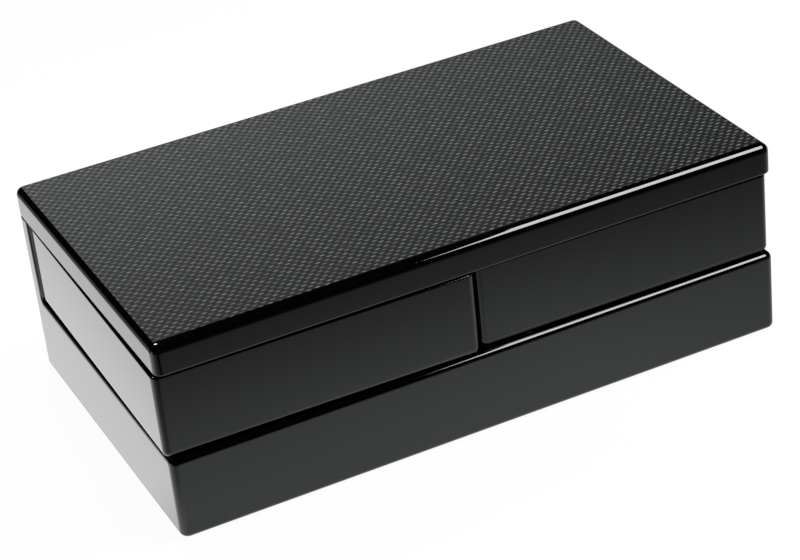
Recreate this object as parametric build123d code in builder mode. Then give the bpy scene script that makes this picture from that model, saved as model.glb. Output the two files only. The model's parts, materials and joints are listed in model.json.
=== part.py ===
from build123d import *
import math
import os

# Keepsake box: a lacquered base with a rear upright, two swing-out trays and a hinged lid.
# X runs along the front, Y to the back and Z up. The origin is on the underside of the
# felt pad that the box rests on, below the middle of the lid.

os.makedirs("parts", exist_ok=True)

# Outer size of the closed box
box_width = 300.0
box_depth = 175.0
corner_radius = 4.0

# Heights
felt_thickness = 1.5
felt_proud = 0.2
base_height = 39.8
tray_height = 40.2
tray_gap = 0.6
lid_gap = 0.8
upright_gap = 0.3
lid_thickness = 14.4

# Base and its rear upright
base_side_wall = 9.0
base_front_wall = 8.0
upright_thickness = 12.5
rear_ledge = 2.5
rim_radius = 2.7
foot_radius = 2.5
inner_corner_radius = 2.0
upright_top_radius = 0.3
pocket_radius = 2.0
base_bottom_thickness = 5.0
base_rebate = 4.0
felt_margin = 6.0

# Trays
tray_side_recess = 0.4
tray_front_recess = 1.6
tray_back_gap = 2.0
seam_gap = 0.7
tray_wall = 7.0
tray_corner_radius = 3.4
tray_foot_radius = 3.2
tray_rim_radius = 0.9
inner_rim_radius = 0.8
tray_bottom_thickness = 4.0
tray_bottom_lift = 0.4
tray_rebate = 3.0
left_tray_open_deg = 0.6
right_tray_open_deg = -0.45

# Pivots, one in the rear outer corner of each tray
pivot_from_side = 8.0
pivot_from_back = 9.0
tray_post_reach = 8.0
base_post_reach = 11.0
bolt_radius = 2.5
bolt_depth = 24.0
bolt_head_radius = 4.0
bolt_head_height = 2.4
bolt_head_sink = 0.3
bolt_head_chamfer = 0.5
bolt_end_play = 0.3
bolt_slot_width = 1.2
bolt_slot_depth = 1.0
counterbore_clearance = 0.4
bush_wall = 1.0
running_clearance = 0.05
washer_radius = 5.2
washer_clearance = 0.05

# Linings, padded floors and dividers
lining_thickness = 1.5
lining_drop = 2.2
floor_pad_thickness = 2.2
lid_pad_thickness = 1.5
lid_pad_recess = 2.0
lid_pad_margin = 17.0
pad_gap = 0.2
divider_thickness = 4.0
divider_height = 23.0
divider_edge_radius = 1.2
left_divider_from_front = 52.0
lap_clearance = 0.05

# Lid and its inlay
lid_top_radius = 3.6
lid_bottom_radius = 1.0
inlay_thickness = 0.8
inlay_side_border = 2.8
inlay_back_border = 3.1
inlay_front_border = 5.0

# Bumpers under the lid, glides under the trays and stops behind them
bumper_radius = 2.1
bumper_play = 0.3
glide_radius = 1.6
glide_play = 0.3
rest_from_middle = 24.0
rest_from_side = 26.0
stop_radius = 4.0
stop_thickness = 0.8
stop_from_middle = 20.0

# Lid hinges
hinge_from_end = 55.0
hinge_length = 32.0
leaf_depth = 9.4
leaf_thickness = 1.1
leaf_gap = 0.1
barrel_radius = 2.2
hinge_axis_behind = 0.9
hinge_pin_radius = 1.0
hinge_pin_clearance = 0.04
barrel_clearance = 0.3
knuckle_count = 5
knuckle_gap = 0.2
screw_radius = 0.9
screw_head_radius = 1.9
screw_length = 9.0
screw_clearance = 0.05
screw_spacing = 20.0
screw_slot_width = 0.5
screw_slot_depth = 0.4

# Levels, from the heights
base_foot = felt_proud
base_top = base_foot + base_height
base_floor = felt_thickness + base_bottom_thickness
tray_foot = base_top + tray_gap
tray_floor = tray_foot + tray_bottom_lift + tray_bottom_thickness
tray_top = tray_foot + tray_height
lid_bottom = tray_top + lid_gap
upright_top = lid_bottom - upright_gap
lid_top = lid_bottom + lid_thickness

# Lines of the plan
front_y = -box_depth / 2
back_y = box_depth / 2
upright_front_y = back_y - upright_thickness
pocket_front_y = front_y + base_front_wall
pocket_back_y = upright_front_y - rear_ledge
pocket_width = box_width - 2 * base_side_wall
pocket_depth = pocket_back_y - pocket_front_y
pocket_middle_y = (pocket_front_y + pocket_back_y) / 2
panel_width = pocket_width + 2 * base_rebate
panel_depth = pocket_depth + 2 * base_rebate

tray_width = (box_width - 2 * tray_side_recess - seam_gap) / 2
tray_front_y = front_y + tray_front_recess
tray_back_y = upright_front_y - tray_back_gap
tray_depth = tray_back_y - tray_front_y
pivot_x = box_width / 2 - tray_side_recess - pivot_from_side
pivot_y = tray_back_y - pivot_from_back
tray_inside_width = tray_width - 2 * tray_wall
tray_inside_depth = tray_depth - 2 * tray_wall

# Levels and radii of the pivots
bush_top = tray_top - bolt_head_sink - bolt_head_height - bolt_end_play
bolt_head_bottom = bush_top + bolt_end_play
bush_inner_radius = bolt_radius + running_clearance
bush_outer_radius = bush_inner_radius + bush_wall

# Hinge lines
hinge_axis_y = back_y + hinge_axis_behind
hinge_axis_z = (upright_top + lid_bottom) / 2
base_leaf_bottom = hinge_axis_z - leaf_gap / 2 - leaf_thickness
base_leaf_top = base_leaf_bottom + leaf_thickness
lid_leaf_bottom = hinge_axis_z + leaf_gap / 2
lid_leaf_top = lid_leaf_bottom + leaf_thickness
knuckle_pitch = hinge_length / knuckle_count
screw_y = back_y - leaf_depth / 2
screw_shank = screw_length - leaf_thickness

# Places of what repeats
slack = 1.0
sides = {"left": -1, "right": 1}
rest_opening_deg = {"left": left_tray_open_deg, "right": right_tray_open_deg}
pivot_places = [(side * pivot_x, pivot_y) for side in sides.values()]
hinge_places = [side * (box_width / 2 - hinge_from_end) for side in sides.values()]
leaf_places = [(hinge_x, hinge_axis_y) for hinge_x in hinge_places]
screw_places = [
    (hinge_x + offset, screw_y)
    for hinge_x in hinge_places
    for offset in (-screw_spacing / 2, screw_spacing / 2)
]
rest_xs = [
    side * reach
    for side in sides.values()
    for reach in (rest_from_middle, box_width / 2 - rest_from_side)
]


def save(piece, label):
    """Name a finished piece and write its file."""
    piece.label = label
    export_step(piece, f"parts/{label}.step")


def near(value, target):
    """Tell whether two lengths agree to a hundredth."""
    return abs(value - target) < 0.01


def base_pocket(grow=0.0):
    """Plan of the base compartment, with a post left standing in each rear corner."""
    post = 2 * (base_post_reach - grow)
    with BuildSketch(mode=Mode.PRIVATE) as plan:
        with Locations((0, pocket_middle_y)):
            Rectangle(pocket_width + 2 * grow, pocket_depth + 2 * grow)
        with Locations(*pivot_places):
            Rectangle(post, post, mode=Mode.SUBTRACT)
        fillet(plan.vertices(), pocket_radius)
    return plan.sketch


def base_panel():
    """Plan of the rebate for the bottom panel."""
    with BuildSketch(mode=Mode.PRIVATE) as plan:
        with Locations((0, pocket_middle_y)):
            Rectangle(panel_width, panel_depth)
    return plan.sketch


def tray_middle(side_name):
    """Middle of a tray, seen from its pivot."""
    middle_x = -sides[side_name] * (tray_width / 2 - pivot_from_side)
    return (middle_x, pivot_from_back - tray_depth / 2)


def tray_pocket(side_name, grow=0.0):
    """Plan of a tray's inside, with a post left standing round its pivot."""
    post = 2 * (tray_post_reach - grow)
    with BuildSketch(mode=Mode.PRIVATE) as plan:
        with Locations(tray_middle(side_name)):
            Rectangle(tray_inside_width + 2 * grow, tray_inside_depth + 2 * grow)
        Rectangle(post, post, mode=Mode.SUBTRACT)
        fillet(plan.vertices(), pocket_radius)
    return plan.sketch


def tray_panel(side_name):
    """Plan of a tray's bottom panel, cut away round its post."""
    with BuildSketch(mode=Mode.PRIVATE) as plan:
        with Locations(tray_middle(side_name)):
            Rectangle(tray_inside_width + 2 * tray_rebate, tray_inside_depth + 2 * tray_rebate)
        Rectangle(2 * tray_post_reach, 2 * tray_post_reach, mode=Mode.SUBTRACT)
    return plan.sketch


def tray_plane(side_name, height):
    """Plane at a height, with its origin on a tray's pivot and turned as the tray stands."""
    side = sides[side_name]
    turn = math.radians(side * rest_opening_deg[side_name])
    return Plane(
        origin=(side * pivot_x, pivot_y, height),
        x_dir=(math.cos(turn), math.sin(turn), 0),
        z_dir=(0, 0, 1),
    )


def hinge_leaf_plan(places):
    """Plan of a hinge leaf, or of its mortise, at each of the places."""
    with BuildSketch(mode=Mode.PRIVATE) as plan:
        with Locations(*places):
            Rectangle(
                hinge_length,
                leaf_depth + hinge_axis_behind,
                align=(Align.CENTER, Align.MAX),
            )
    return plan.sketch


def knuckle_starts(first):
    """Left end of every second knuckle along a hinge, from its middle."""
    return [
        index * knuckle_pitch - hinge_length / 2 for index in range(first, knuckle_count, 2)
    ]


# Base with its rear upright, one lacquered body
with BuildPart() as base_body:
    with BuildSketch(Plane.XY.offset(base_foot)):
        RectangleRounded(box_width, box_depth, corner_radius)
    extrude(amount=upright_top - base_foot)
    with BuildSketch(Plane.XY.offset(base_top)):
        with Locations((0, upright_front_y)):
            Rectangle(box_width + 2 * slack, box_depth, align=(Align.CENTER, Align.MAX))
    extrude(amount=upright_top - base_top, mode=Mode.SUBTRACT)
    inner_corner = base_body.edges().filter_by(Axis.X).filter_by(
        lambda e: near(e.center().Y, upright_front_y) and near(e.center().Z, base_top)
    )
    fillet(inner_corner, inner_corner_radius)
    rim = base_body.edges().filter_by(
        lambda e: base_top - slack < e.center().Z < upright_top - slack
        and e.center().Y < upright_front_y + slack / 2
        and (abs(e.center().X) > box_width / 2 - corner_radius or near(e.center().Y, front_y))
    )
    fillet(rim, rim_radius)
    fillet(base_body.faces().sort_by(Axis.Z)[-1].outer_wire().edges(), upright_top_radius)
    fillet(base_body.faces().sort_by(Axis.Z)[0].outer_wire().edges(), foot_radius)
    with BuildSketch(Plane.XY.offset(base_foot)):
        add(base_pocket())
    extrude(amount=upright_top - base_foot, mode=Mode.SUBTRACT)
    with BuildSketch(Plane.XY.offset(base_foot)):
        add(base_panel())
    extrude(amount=base_floor - base_foot, mode=Mode.SUBTRACT)
    with BuildSketch(Plane.XY.offset(base_top)):
        with Locations(*pivot_places):
            Circle(bolt_radius)
    extrude(amount=-bolt_depth, mode=Mode.SUBTRACT)
    with BuildSketch(Plane.XY.offset(base_leaf_bottom)):
        add(hinge_leaf_plan(leaf_places))
    extrude(amount=leaf_thickness + slack, mode=Mode.SUBTRACT)
    for hinge_x in hinge_places:
        with BuildSketch(Plane.YZ.offset(hinge_x - hinge_length / 2)):
            with Locations((hinge_axis_y, hinge_axis_z)):
                Circle(barrel_radius + barrel_clearance)
        extrude(amount=hinge_length, mode=Mode.SUBTRACT)
    with BuildSketch(Plane.XY.offset(base_leaf_bottom)):
        with Locations(*screw_places):
            Circle(screw_radius + screw_clearance)
    extrude(amount=-screw_shank - slack, mode=Mode.SUBTRACT)
save(base_body.part, "base_body")

# Bottom panel in its rebate, and the felt that the box rests on
with BuildPart() as bottom_panel:
    with BuildSketch(Plane.XY.offset(felt_thickness)):
        add(base_panel())
    extrude(amount=base_bottom_thickness)
save(bottom_panel.part, "bottom_panel")

with BuildPart() as felt_base_pad:
    with BuildSketch():
        with Locations((0, pocket_middle_y)):
            RectangleRounded(
                panel_width - 2 * felt_margin, panel_depth - 2 * felt_margin, felt_margin
            )
    extrude(amount=felt_thickness)
save(felt_base_pad.part, "felt_base_pad")

# Lining and padded floor of the base compartment
with BuildPart() as base_wall_lining:
    with BuildSketch(Plane.XY.offset(base_floor)):
        add(base_pocket())
        add(base_pocket(-lining_thickness), mode=Mode.SUBTRACT)
    extrude(amount=base_top - lining_drop - base_floor)
save(base_wall_lining.part, "base_wall_lining")

with BuildPart() as base_floor_pad:
    with BuildSketch(Plane.XY.offset(base_floor)):
        add(base_pocket(-lining_thickness - pad_gap))
    extrude(amount=floor_pad_thickness)
save(base_floor_pad.part, "base_floor_pad")

# Pivot bolts fixed in the base, and the washers that the trays turn on
for side_name, side in sides.items():
    with BuildPart() as pivot_bolt:
        with BuildSketch(Plane.XY.offset(base_top - bolt_depth)):
            with Locations((side * pivot_x, pivot_y)):
                Circle(bolt_radius)
        extrude(amount=bolt_depth + bolt_head_bottom - base_top)
        with BuildSketch(Plane.XY.offset(bolt_head_bottom)):
            with Locations((side * pivot_x, pivot_y)):
                Circle(bolt_head_radius)
        extrude(amount=bolt_head_height)
        chamfer(pivot_bolt.edges().sort_by(Axis.Z)[-1], bolt_head_chamfer)
        with BuildSketch(Plane.XY.offset(bolt_head_bottom + bolt_head_height)):
            with Locations((side * pivot_x, pivot_y)):
                Rectangle(2 * bolt_head_radius, bolt_slot_width)
        extrude(amount=-bolt_slot_depth, mode=Mode.SUBTRACT)
    save(pivot_bolt.part, f"{side_name}_pivot_bolt")

    with BuildPart() as thrust_washer:
        with BuildSketch(Plane.XY.offset(base_top)):
            with Locations((side * pivot_x, pivot_y)):
                Circle(washer_radius)
                Circle(bush_inner_radius, mode=Mode.SUBTRACT)
        extrude(amount=tray_gap - washer_clearance)
    save(thrust_washer.part, f"{side_name}_thrust_washer")

# Trays, each drawn from its pivot and set as far open as it stands at rest
for side_name in sides:
    with BuildPart() as tray_shell:
        with BuildSketch(tray_plane(side_name, tray_foot)):
            with Locations(tray_middle(side_name)):
                RectangleRounded(tray_width, tray_depth, tray_corner_radius)
        extrude(amount=tray_height)
        fillet(tray_shell.faces().sort_by(Axis.Z)[0].outer_wire().edges(), tray_foot_radius)
        fillet(tray_shell.faces().sort_by(Axis.Z)[-1].outer_wire().edges(), tray_rim_radius)
        with BuildSketch(tray_plane(side_name, tray_foot)):
            add(tray_pocket(side_name))
        extrude(amount=tray_height, mode=Mode.SUBTRACT)
        rim_face = tray_shell.faces().sort_by(Axis.Z)[-1]
        fillet(rim_face.inner_wires()[0].edges(), inner_rim_radius)
        with BuildSketch(tray_plane(side_name, tray_foot)):
            add(tray_panel(side_name))
        extrude(amount=tray_floor - tray_foot, mode=Mode.SUBTRACT)
        with BuildSketch(tray_plane(side_name, tray_foot)):
            Circle(bush_outer_radius)
        extrude(amount=tray_height, mode=Mode.SUBTRACT)
        with BuildSketch(tray_plane(side_name, bush_top)):
            Circle(bolt_head_radius + counterbore_clearance)
        extrude(amount=tray_top - bush_top, mode=Mode.SUBTRACT)
    save(tray_shell.part, f"{side_name}_tray_shell")

    with BuildPart() as tray_bottom:
        with BuildSketch(tray_plane(side_name, tray_foot + tray_bottom_lift)):
            add(tray_panel(side_name))
        extrude(amount=tray_bottom_thickness)
    save(tray_bottom.part, f"{side_name}_tray_bottom")

    with BuildPart() as pivot_bush:
        with BuildSketch(tray_plane(side_name, tray_foot)):
            Circle(bush_outer_radius)
            Circle(bush_inner_radius, mode=Mode.SUBTRACT)
        extrude(amount=bush_top - tray_foot)
    save(pivot_bush.part, f"{side_name}_pivot_bush")

    with BuildPart() as tray_wall_lining:
        with BuildSketch(tray_plane(side_name, tray_floor)):
            add(tray_pocket(side_name))
            add(tray_pocket(side_name, -lining_thickness), mode=Mode.SUBTRACT)
        extrude(amount=tray_top - lining_drop - tray_floor)
    save(tray_wall_lining.part, f"{side_name}_tray_wall_lining")

# One divider across the left tray, and two that cross in the right tray
lined_width = tray_inside_width - 2 * lining_thickness
lined_depth = tray_inside_depth - 2 * lining_thickness
full_divider_height = floor_pad_thickness + divider_height
lap_height = full_divider_height / 2
lap_width = divider_thickness + 2 * lap_clearance
left_middle_x, left_middle_y = tray_middle("left")
left_divider_y = left_middle_y - lined_depth / 2 + left_divider_from_front

with BuildPart() as left_tray_divider:
    with BuildSketch(tray_plane("left", tray_floor)):
        with Locations((left_middle_x, left_divider_y)):
            Rectangle(lined_width, divider_thickness)
    extrude(amount=full_divider_height)
    top_edges = left_tray_divider.faces().sort_by(Axis.Z)[-1].edges()
    fillet(top_edges.sort_by(SortBy.LENGTH)[-2:], divider_edge_radius)
save(left_tray_divider.part, "left_tray_divider")

with BuildPart() as right_tray_long_divider:
    with BuildSketch(tray_plane("right", tray_floor)):
        with Locations(tray_middle("right")):
            Rectangle(divider_thickness, lined_depth)
    extrude(amount=full_divider_height)
    top_edges = right_tray_long_divider.faces().sort_by(Axis.Z)[-1].edges()
    fillet(top_edges.sort_by(SortBy.LENGTH)[-2:], divider_edge_radius)
    with BuildSketch(tray_plane("right", tray_floor + lap_height)):
        with Locations(tray_middle("right")):
            Rectangle(lap_width, lap_width)
    extrude(amount=lap_height, mode=Mode.SUBTRACT)
save(right_tray_long_divider.part, "right_tray_long_divider")

with BuildPart() as right_tray_cross_divider:
    with BuildSketch(tray_plane("right", tray_floor)):
        with Locations(tray_middle("right")):
            Rectangle(lined_width, divider_thickness)
    extrude(amount=full_divider_height)
    top_edges = right_tray_cross_divider.faces().sort_by(Axis.Z)[-1].edges()
    fillet(top_edges.sort_by(SortBy.LENGTH)[-2:], divider_edge_radius)
    with BuildSketch(tray_plane("right", tray_floor)):
        with Locations(tray_middle("right")):
            Rectangle(lap_width, lap_width)
    extrude(amount=lap_height, mode=Mode.SUBTRACT)
save(right_tray_cross_divider.part, "right_tray_cross_divider")

# Padded floor of each tray compartment
pad_parting = divider_thickness + 2 * pad_gap
with BuildPart() as left_tray_floor_pads:
    with BuildSketch(tray_plane("left", tray_floor)):
        add(tray_pocket("left", -lining_thickness - pad_gap))
        with Locations((left_middle_x, left_divider_y)):
            Rectangle(tray_width, pad_parting, mode=Mode.SUBTRACT)
    extrude(amount=floor_pad_thickness)
save(left_tray_floor_pads.part, "left_tray_floor_pads")

with BuildPart() as right_tray_floor_pads:
    with BuildSketch(tray_plane("right", tray_floor)):
        add(tray_pocket("right", -lining_thickness - pad_gap))
        with Locations(tray_middle("right")):
            Rectangle(tray_width, pad_parting, mode=Mode.SUBTRACT)
            Rectangle(pad_parting, tray_depth, mode=Mode.SUBTRACT)
    extrude(amount=floor_pad_thickness)
save(right_tray_floor_pads.part, "right_tray_floor_pads")

# Lid, recessed above for the inlay and below for its pad
inlay_width = box_width - 2 * inlay_side_border
inlay_depth = box_depth - inlay_front_border - inlay_back_border
inlay_y = (inlay_front_border - inlay_back_border) / 2
lid_pad_width = box_width - 2 * lid_pad_margin
lid_pad_depth = box_depth - 2 * lid_pad_margin

with BuildPart() as lid_panel:
    with BuildSketch(Plane.XY.offset(lid_bottom)):
        RectangleRounded(box_width, box_depth, corner_radius)
    extrude(amount=lid_thickness)
    fillet(lid_panel.faces().sort_by(Axis.Z)[-1].outer_wire().edges(), lid_top_radius)
    fillet(lid_panel.faces().sort_by(Axis.Z)[0].outer_wire().edges(), lid_bottom_radius)
    with BuildSketch(Plane.XY.offset(lid_top)):
        with Locations((0, inlay_y)):
            Rectangle(inlay_width, inlay_depth)
    extrude(amount=-inlay_thickness, mode=Mode.SUBTRACT)
    with BuildSketch(Plane.XY.offset(lid_bottom)):
        RectangleRounded(lid_pad_width, lid_pad_depth, pocket_radius)
    extrude(amount=lid_pad_recess, mode=Mode.SUBTRACT)
    with BuildSketch(Plane.XY.offset(lid_leaf_top)):
        add(hinge_leaf_plan(leaf_places))
    extrude(amount=-leaf_thickness - slack, mode=Mode.SUBTRACT)
    for hinge_x in hinge_places:
        with BuildSketch(Plane.YZ.offset(hinge_x - hinge_length / 2)):
            with Locations((hinge_axis_y, hinge_axis_z)):
                Circle(barrel_radius + barrel_clearance)
        extrude(amount=hinge_length, mode=Mode.SUBTRACT)
    with BuildSketch(Plane.XY.offset(lid_leaf_top)):
        with Locations(*screw_places):
            Circle(screw_radius + screw_clearance)
    extrude(amount=screw_shank + slack, mode=Mode.SUBTRACT)
save(lid_panel.part, "lid_panel")

with BuildPart() as carbon_inlay:
    with BuildSketch(Plane.XY.offset(lid_top)):
        with Locations((0, inlay_y)):
            Rectangle(inlay_width, inlay_depth)
    extrude(amount=-inlay_thickness)
save(carbon_inlay.part, "carbon_inlay")

with BuildPart() as lid_pad:
    with BuildSketch(Plane.XY.offset(lid_bottom + lid_pad_recess)):
        RectangleRounded(
            lid_pad_width - 2 * pad_gap, lid_pad_depth - 2 * pad_gap, pocket_radius
        )
    extrude(amount=-lid_pad_thickness)
save(lid_pad.part, "lid_pad")

# Bumpers under the lid, above the flat of the trays' front rims
rim_middle_y = tray_front_y + (tray_rim_radius + tray_wall - inner_rim_radius) / 2
with BuildPart() as lid_bumpers:
    with BuildSketch(Plane.XY.offset(lid_bottom)):
        with Locations(*[(x, rim_middle_y) for x in rest_xs]):
            Circle(bumper_radius)
    extrude(amount=bumper_play - lid_gap)
save(lid_bumpers.part, "lid_bumpers")

# Glides on the flat of the base's front rim, under the trays
glide_y = (front_y + rim_radius + pocket_front_y) / 2
with BuildPart() as tray_glides:
    with BuildSketch(Plane.XY.offset(base_top)):
        with Locations(*[(x, glide_y) for x in rest_xs]):
            Circle(glide_radius)
    extrude(amount=tray_gap - glide_play)
save(tray_glides.part, "tray_glides")

# Rubber stops on the upright, behind the trays' inner ends
stop_z = (tray_foot + tray_top) / 2
with BuildPart() as tray_stops:
    with BuildSketch(Plane.XZ.offset(-upright_front_y)):
        with Locations(*[(side * stop_from_middle, stop_z) for side in sides.values()]):
            Circle(stop_radius)
    extrude(amount=stop_thickness)
save(tray_stops.part, "tray_stops")

# Lid hinges: two leaves each, with interleaved knuckles on one pin
leaf_bottoms = {"base": base_leaf_bottom, "lid": lid_leaf_bottom}
own_first = {"base": 0, "lid": 1}
bore_radii = {"base": hinge_pin_radius, "lid": hinge_pin_radius + hinge_pin_clearance}
upper_radii = {"base": screw_head_radius, "lid": screw_radius}
lower_radii = {"base": screw_radius, "lid": screw_head_radius}
for side_name, side in sides.items():
    hinge_x = side * (box_width / 2 - hinge_from_end)
    for leaf_name, leaf_bottom in leaf_bottoms.items():
        with BuildPart() as hinge_leaf:
            with BuildSketch(Plane.XY.offset(leaf_bottom)):
                add(hinge_leaf_plan([(hinge_x, hinge_axis_y)]))
            extrude(amount=leaf_thickness)
            for start in knuckle_starts(1 - own_first[leaf_name]):
                with BuildSketch(Plane.YZ.offset(hinge_x + start - knuckle_gap / 2)):
                    with Locations((hinge_axis_y, hinge_axis_z)):
                        Circle(barrel_radius + barrel_clearance)
                extrude(amount=knuckle_pitch + knuckle_gap, mode=Mode.SUBTRACT)
            for start in knuckle_starts(own_first[leaf_name]):
                with BuildSketch(Plane.YZ.offset(hinge_x + start + knuckle_gap / 2)):
                    with Locations((hinge_axis_y, hinge_axis_z)):
                        Circle(barrel_radius)
                extrude(amount=knuckle_pitch - knuckle_gap)
            with BuildSketch(Plane.YZ.offset(hinge_x - hinge_length / 2)):
                with Locations((hinge_axis_y, hinge_axis_z)):
                    Circle(bore_radii[leaf_name])
            extrude(amount=hinge_length, mode=Mode.SUBTRACT)
            with Locations(*[(x, y, leaf_bottom) for x, y in screw_places if x * side > 0]):
                Cone(
                    lower_radii[leaf_name] + screw_clearance,
                    upper_radii[leaf_name] + screw_clearance,
                    leaf_thickness,
                    align=(Align.CENTER, Align.CENTER, Align.MIN),
                    mode=Mode.SUBTRACT,
                )
        save(hinge_leaf.part, f"{side_name}_hinge_{leaf_name}_leaf")

    with BuildPart() as hinge_pin:
        with BuildSketch(Plane.YZ.offset(hinge_x - hinge_length / 2)):
            with Locations((hinge_axis_y, hinge_axis_z)):
                Circle(hinge_pin_radius)
        extrude(amount=hinge_length)
    save(hinge_pin.part, f"{side_name}_hinge_pin")

# Countersunk screws of the leaves, down into the upright and up into the lid
with BuildPart() as base_hinge_screws:
    with Locations(*[(x, y, base_leaf_bottom) for x, y in screw_places]):
        Cone(
            screw_radius,
            screw_head_radius,
            leaf_thickness,
            align=(Align.CENTER, Align.CENTER, Align.MIN),
        )
        Cylinder(screw_radius, screw_shank, align=(Align.CENTER, Align.CENTER, Align.MAX))
    with BuildSketch(Plane.XY.offset(base_leaf_top)):
        with Locations(*screw_places):
            Rectangle(2 * screw_head_radius, screw_slot_width)
    extrude(amount=-screw_slot_depth, mode=Mode.SUBTRACT)
save(base_hinge_screws.part, "base_hinge_screws")

with BuildPart() as lid_hinge_screws:
    with Locations(*[(x, y, lid_leaf_top) for x, y in screw_places]):
        Cone(
            screw_head_radius,
            screw_radius,
            leaf_thickness,
            align=(Align.CENTER, Align.CENTER, Align.MAX),
        )
        Cylinder(screw_radius, screw_shank, align=(Align.CENTER, Align.CENTER, Align.MIN))
    with BuildSketch(Plane.XY.offset(lid_leaf_bottom)):
        with Locations(*screw_places):
            Rectangle(2 * screw_head_radius, screw_slot_width)
    extrude(amount=screw_slot_depth, mode=Mode.SUBTRACT)
save(lid_hinge_screws.part, "lid_hinge_screws")
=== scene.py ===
import json
import math

import bpy
from mathutils import Matrix, Vector


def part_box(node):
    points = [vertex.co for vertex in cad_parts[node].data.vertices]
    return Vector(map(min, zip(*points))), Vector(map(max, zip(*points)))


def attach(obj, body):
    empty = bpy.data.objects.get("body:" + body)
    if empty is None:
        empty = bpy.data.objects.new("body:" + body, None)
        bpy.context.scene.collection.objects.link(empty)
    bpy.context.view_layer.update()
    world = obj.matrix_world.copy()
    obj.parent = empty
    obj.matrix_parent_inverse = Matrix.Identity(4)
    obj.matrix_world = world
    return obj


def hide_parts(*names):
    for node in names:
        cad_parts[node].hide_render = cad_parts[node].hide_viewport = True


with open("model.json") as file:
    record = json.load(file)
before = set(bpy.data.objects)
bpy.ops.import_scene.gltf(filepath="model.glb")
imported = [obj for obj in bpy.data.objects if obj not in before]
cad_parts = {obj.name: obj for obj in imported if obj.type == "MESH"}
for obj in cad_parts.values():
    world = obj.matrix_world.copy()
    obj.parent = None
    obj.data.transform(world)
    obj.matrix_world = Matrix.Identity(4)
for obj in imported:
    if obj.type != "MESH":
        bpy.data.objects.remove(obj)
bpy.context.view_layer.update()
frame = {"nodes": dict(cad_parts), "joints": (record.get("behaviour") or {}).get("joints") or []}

bl_info = {
    "name": "Keepsake Box",
    "version": (1, 0, 0),
    "blender": (4, 5, 0),
    "location": "3D View > Sidebar > Keepsake Box",
    "description": "Lacquer, carbon inlay, suede pads and metal fittings of a keepsake box",
    "category": "Object",
}

# Pieces that the CAD model gives, by finish
LACQUERED = ("base_body", "lid_panel", "left_tray_shell", "right_tray_shell")
STAINED_PANELS = ("bottom_panel", "left_tray_bottom", "right_tray_bottom")
SUEDE_COVERED = (
    "base_wall_lining",
    "left_tray_wall_lining",
    "right_tray_wall_lining",
    "left_tray_divider",
    "right_tray_long_divider",
    "right_tray_cross_divider",
)
NICKEL_PLATED = (
    "left_hinge_base_leaf",
    "right_hinge_base_leaf",
    "left_hinge_lid_leaf",
    "right_hinge_lid_leaf",
    "left_hinge_pin",
    "right_hinge_pin",
    "base_hinge_screws",
    "lid_hinge_screws",
    "left_pivot_bolt",
    "right_pivot_bolt",
)
BRASS_TURNED = (
    "left_pivot_bush",
    "right_pivot_bush",
    "left_thrust_washer",
    "right_thrust_washer",
)

MM = 0.001

# Half the width of the corner blocks that a floor pad is cut back round
BASE_POST_REACH = 12.7 * MM
TRAY_POST_REACH = 9.7 * MM

# How far each ring of faces lies in from a pad's edge, counted from the ring before it
PAD_RINGS = (0.35 * MM, 0.5 * MM, 0.8 * MM)

# Soft unevenness of a pad: its height, and its waves in radians for each metre
PAD_WAVE = 0.08 * MM
PAD_WAVE_X = 61
PAD_WAVE_Y = 23
PAD_CROSS_WAVE = 71

# Least height of a pad's top, as a share of its thickness
PAD_LEAST_SHARE = 0.2

# Where a tow lies on top, in shares of a cell: half its width, and the arch at which it
# starts to show and shows in full
# The weft's dashes carry a painted highlight, the lit look of the tows painted in a light colour
WEFT_DASH = (0.24, -0.4, 0.7)
WARP_DASH = (0.5, 0.1, 1.0)

# Unevenness of the weave's painted highlights: brightness of every other row, brightness of each
# dash, and how far each dash is moved, in shares of a cell
ROW_LEVELS = (0.8, 1.1)
DASH_LEVELS = (0.45, 1.15)
DASH_SHIFT_X = 0.06
DASH_SHIFT_Y = 0.11

# Share of a half circle that a tow's cross section takes up
TOW_ROLL = 0.9

# Falls of the mirrored floor in front, towards the right: where each starts and ends, and
# the share that is left behind it
FRONT_FALLS = ((0.05, 0.18, 0.76), (0.15, 0.25, 0.85))

# The mirrored floor to the left of the front: outside it rises along Y from nothing to a
# share, and towards the box it rises along X to the whole
OUTER_RISE = (-0.215, -0.185, 0.45)
INNER_RISE = (-0.19, -0.15)

# The mirrored floor beside the left side: its fall to the left, its fall to the back, how
# it goes dim far out, where along Y that dimming sets in, and how it comes up from the front
LEFT_FALL = (-0.22, -0.16, 0.76)
BACK_FALL = (-0.09, 0.20, 0.86)
FAR_DIM = (-0.25, -0.21, 0.2)
FAR_DIM_START = (0.03, 0.09)
LEFT_RISE = (-0.135, -0.03)
LEFT_EDGE_BLUR = 1 * MM

# Tint of the mirrored floor, except beside the left side
MIRRORED_TINT = (0.965, 1.03, 1.0)

# Strength of the room as seen, as light and as mirrored
ROOM_SEEN = 1.0
ROOM_LIGHT = 0.25
ROOM_MIRRORED = 0.01

# Softboxes: place, point that it is aimed at, width, height, watts and colour
SOFTBOXES = {
    "rear_left_softbox": ((-0.13, 0.20, 0.46), (0, 0, 0.09), 0.15, 0.15, 1.6, (1, 1, 1)),
    "overhead_softbox": (
        (0.55, -0.37, 0.90),
        (0.55, -0.37, 0),
        0.39,
        0.68,
        12.5,
        (0.95, 0.965, 1.0),
    ),
}


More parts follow.
